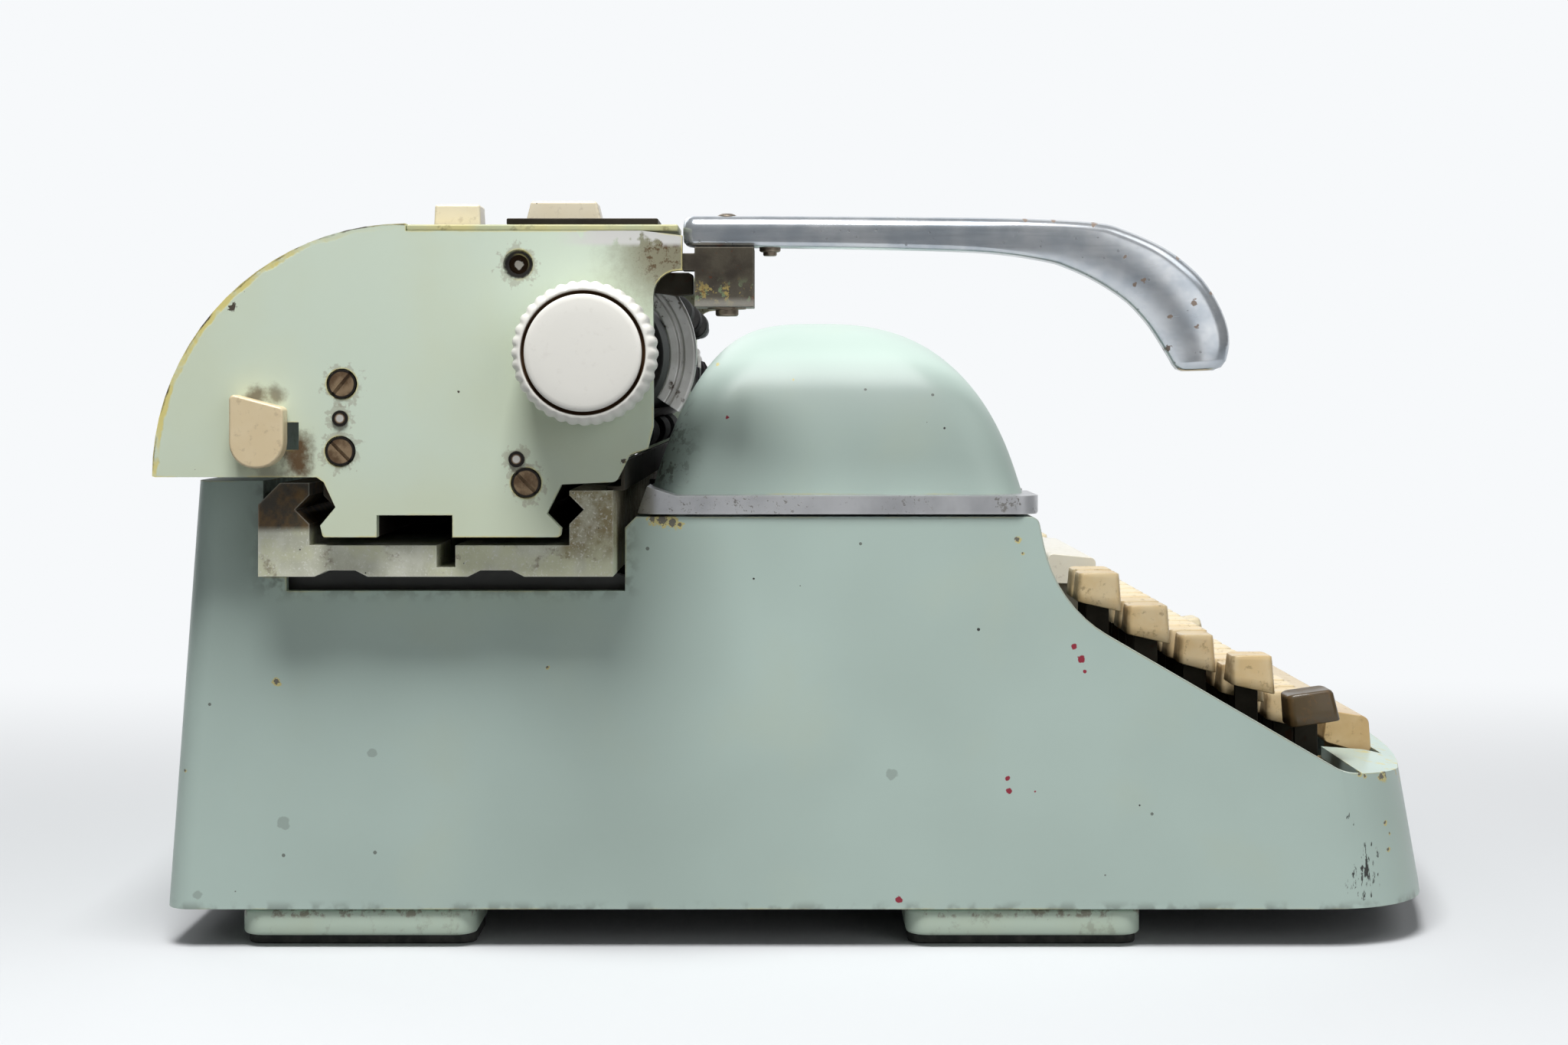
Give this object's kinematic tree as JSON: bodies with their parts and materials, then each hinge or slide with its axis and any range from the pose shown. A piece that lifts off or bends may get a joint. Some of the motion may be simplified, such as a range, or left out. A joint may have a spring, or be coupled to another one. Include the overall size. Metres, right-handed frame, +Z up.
{
  "type": "manual typewriter",
  "caption": "Standard manual typewriter with sliding carriage, platen knobs, return lever, hinged ribbon cover, four-row keyboard and space bar in a cast green body on rubber-padded feet.",
  "frame": {"origin": "on the table, under the middle of the machine's width and depth", "axes": "+X to the operator's right, +Y to the rear, +Z up"},
  "size_m": [0.441, 0.4354, 0.243],
  "materials": {
    "body_paint": "satin sage-green paint, worn at the edges",
    "plate_paint": "satin paint, yellower, worn at the rim",
    "foot_paint": "satin paint",
    "pad_rubber": "dull",
    "black_iron": "black lacquer",
    "raw_casting": "raw casting, pitted",
    "trim_metal": "brushed, pitted",
    "lever_metal": "polished, lightly scratched",
    "steel": "bright, a little tarnished",
    "dark_steel": "dark, stained",
    "screw_steel": "slotted, rusty",
    "brass": "dull",
    "black_rubber": "hard, matt",
    "ivory": "moulded, slightly yellowed",
    "key_cream": "moulded, aged to beige",
    "key_brown": "moulded",
    "felt": "felt",
    "ribbon_cloth": "inked cloth"
  },
  "bodies": {
    "machine": {"body_shell": "body_paint", "base_plate": "black_iron", "feet": "foot_paint", "foot_pads": "pad_rubber", "main_frame": "black_iron", "carriage_rail": "raw_casting", "lever_shaft": "steel", "card_guide": "steel", "spool_plate": "black_iron", "ribbon": "ribbon_cloth", "bell": "steel", "hinge_brackets": "dark_steel"},
    "type_basket": {"type_segment": "steel", "type_bars": "steel", "type_rest": "felt"},
    "cover": {"ribbon_cover": "body_paint", "cover_trim": "trim_metal"},
    "carriage": {"left_end_plate": "plate_paint", "right_end_plate": "plate_paint", "carriage_beam": "raw_casting", "carriage_cover": "plate_paint", "paper_pan": "steel", "end_plate_screws": "screw_steel", "top_plates": "plate_paint", "dark_plate": "dark_steel", "lever_hub": "dark_steel", "lever_pivot": "screw_steel", "escapement_rack": "steel"},
    "platen": {"platen_core": "dark_steel", "platen_rubber": "black_rubber", "platen_knobs": "ivory", "knob_caps": "ivory"},
    "front_feed": {"front_feed_roller": "black_rubber"},
    "rear_feed": {"rear_feed_roller": "black_rubber"},
    "bail": {"bail_arms": "steel", "bail_rollers": "black_rubber"},
    "line_lever": {"return_lever": "lever_metal"},
    "left_release": {"left_release_lever": "key_cream"},
    "right_release": {"right_release_lever": "key_cream"},
    "back_button": {"rear_button": "key_cream"},
    "fore_button": {"front_button": "key_cream"},
    "balls": {"ball_cages": "brass", "bearing_balls": "steel"},
    "drum": {"mainspring_drum": "dark_steel"},
    "escapement": {"escapement_wheel": "brass"},
    "spool_left": {"left_spool": "black_iron"},
    "spool_right": {"right_spool": "black_iron"},
    "number_row": {"number_keys": "key_cream", "number_levers": "dark_steel"},
    "upper_row": {"upper_keys": "key_cream", "upper_levers": "dark_steel"},
    "middle_row": {"middle_keys": "key_cream", "middle_levers": "dark_steel"},
    "lower_row": {"lower_keys": "key_cream", "lower_levers": "dark_steel"},
    "function_row": {"function_keys": "key_cream"},
    "tab_key": {"tab_bar": "key_cream"},
    "shift": {"shift_keys": "key_brown"},
    "lock": {"shift_lock": "key_cream"},
    "space": {"space_bar": "key_cream"}
  },
  "joints": [
    {"name": "carriage_slide", "type": "slide", "parent": "machine", "child": "carriage", "axis": [-1, 0, 0], "range_m": [-0.11, 0.11]},
    {"name": "ball_roll", "type": "slide", "parent": "machine", "child": "balls", "axis": [-1, 0, 0], "range_m": [-0.0551, 0.0551]},
    {"name": "drum_spin", "type": "hinge", "parent": "machine", "child": "drum", "pos_m": [-0.1, 0.136, 0.094], "axis": [0, 0, 1], "range_deg": [-264, 264]},
    {"name": "escapement_spin", "type": "hinge", "parent": "machine", "child": "escapement", "pos_m": [0, 0.123, 0.11], "axis": [0, 0, 1], "range_deg": [-1052, 1052]},
    {"name": "platen_spin", "type": "hinge", "parent": "carriage", "child": "platen", "pos_m": [0, 0.0768, 0.194], "axis": [1, 0, 0], "continuous": true},
    {"name": "front_feed_spin", "type": "hinge", "parent": "carriage", "child": "front_feed", "pos_m": [0, 0.069, 0.1668], "axis": [1, 0, 0], "continuous": true},
    {"name": "rear_feed_spin", "type": "hinge", "parent": "carriage", "child": "rear_feed", "pos_m": [0, 0.0846, 0.1668], "axis": [1, 0, 0], "continuous": true},
    {"name": "bail_lift", "type": "hinge", "parent": "carriage", "child": "bail", "pos_m": [0, 0.0992, 0.2224], "axis": [-1, 0, 0], "range_deg": [0, 35]},
    {"name": "line_lever_swing", "type": "hinge", "parent": "carriage", "child": "line_lever", "pos_m": [-0.183, 0.0334, 0.233], "axis": [0, 0, 1], "range_deg": [0, 25], "stiffness_Nm_per_rad": 0.6, "springref_deg": -17.19},
    {"name": "left_release_push", "type": "slide", "parent": "carriage", "child": "left_release", "axis": [0, -1, 0], "range_m": [0, 0.008], "stiffness_N_per_m": 150, "springref_m": -0.004},
    {"name": "right_release_push", "type": "slide", "parent": "carriage", "child": "right_release", "axis": [0, -1, 0], "range_m": [0, 0.008], "stiffness_N_per_m": 150, "springref_m": -0.004},
    {"name": "back_button_press", "type": "slide", "parent": "carriage", "child": "back_button", "axis": [0, 0, -1], "range_m": [0, 0.004], "stiffness_N_per_m": 250, "springref_m": -0.003},
    {"name": "fore_button_press", "type": "slide", "parent": "carriage", "child": "fore_button", "axis": [0, 0, -1], "range_m": [0, 0.004], "stiffness_N_per_m": 250, "springref_m": -0.003},
    {"name": "cover_open", "type": "hinge", "parent": "machine", "child": "cover", "pos_m": [0, -0.0662, 0.1448], "axis": [1, 0, 0], "range_deg": [0, 90]},
    {"name": "left_spool_spin", "type": "hinge", "parent": "machine", "child": "spool_left", "pos_m": [-0.112, 0.004, 0.154], "axis": [0, 0, 1], "continuous": true},
    {"name": "right_spool_spin", "type": "hinge", "parent": "machine", "child": "spool_right", "pos_m": [0.112, 0.004, 0.154], "axis": [0, 0, 1], "continuous": true},
    {"name": "number_row_press", "type": "hinge", "parent": "machine", "child": "number_row", "pos_m": [0, 0.095, 0.092], "axis": [1, 0, 0], "range_deg": [0, 2.8], "stiffness_Nm_per_rad": 4, "springref_deg": -20.05},
    {"name": "upper_row_press", "type": "hinge", "parent": "machine", "child": "upper_row", "pos_m": [0, 0.095, 0.092], "axis": [1, 0, 0], "range_deg": [0, 2.8], "stiffness_Nm_per_rad": 4, "springref_deg": -20.05},
    {"name": "middle_row_press", "type": "hinge", "parent": "machine", "child": "middle_row", "pos_m": [0, 0.095, 0.092], "axis": [1, 0, 0], "range_deg": [0, 2.8], "stiffness_Nm_per_rad": 4, "springref_deg": -20.05},
    {"name": "lower_row_press", "type": "hinge", "parent": "machine", "child": "lower_row", "pos_m": [0, 0.095, 0.092], "axis": [1, 0, 0], "range_deg": [0, 2.8], "stiffness_Nm_per_rad": 4, "springref_deg": -20.05},
    {"name": "function_row_press", "type": "hinge", "parent": "machine", "child": "function_row", "pos_m": [0, 0.095, 0.092], "axis": [1, 0, 0], "range_deg": [0, 2.8], "stiffness_Nm_per_rad": 0.8, "springref_deg": -20.05},
    {"name": "tab_key_press", "type": "hinge", "parent": "machine", "child": "tab_key", "pos_m": [0, 0.095, 0.092], "axis": [1, 0, 0], "range_deg": [0, 2.3], "stiffness_Nm_per_rad": 0.8, "springref_deg": -20.05},
    {"name": "shift_press", "type": "hinge", "parent": "machine", "child": "shift", "pos_m": [0, 0.095, 0.092], "axis": [1, 0, 0], "range_deg": [0, 3.2], "stiffness_Nm_per_rad": 1.5, "springref_deg": -20.05},
    {"name": "lock_press", "type": "hinge", "parent": "machine", "child": "lock", "pos_m": [0, 0.095, 0.092], "axis": [1, 0, 0], "range_deg": [0, 3.2], "stiffness_Nm_per_rad": 0.5, "springref_deg": -20.05},
    {"name": "space_press", "type": "hinge", "parent": "machine", "child": "space", "pos_m": [0, 0.095, 0.092], "axis": [1, 0, 0], "range_deg": [0, 2], "stiffness_Nm_per_rad": 1.5, "springref_deg": -20.05},
    {"name": "basket_shift", "type": "slide", "parent": "machine", "child": "type_basket", "axis": [0, 0, -1], "range_m": [0, 0.0062], "stiffness_N_per_m": 500, "springref_m": -0.02}
  ],
  "couplings": [
    {"joint": "ball_roll", "follows": "carriage_slide", "ratio": 0.5},
    {"joint": "drum_spin", "follows": "carriage_slide", "rad_per_m": 41.667},
    {"joint": "escapement_spin", "follows": "carriage_slide", "rad_per_m": 166.67},
    {"joint": "front_feed_spin", "follows": "platen_spin", "ratio": -3.6667},
    {"joint": "rear_feed_spin", "follows": "platen_spin", "ratio": -3.6667},
    {"joint": "right_spool_spin", "follows": "left_spool_spin", "ratio": 1},
    {"joint": "basket_shift", "follows": "shift_press", "m_per_rad": 0.109}
  ]
}
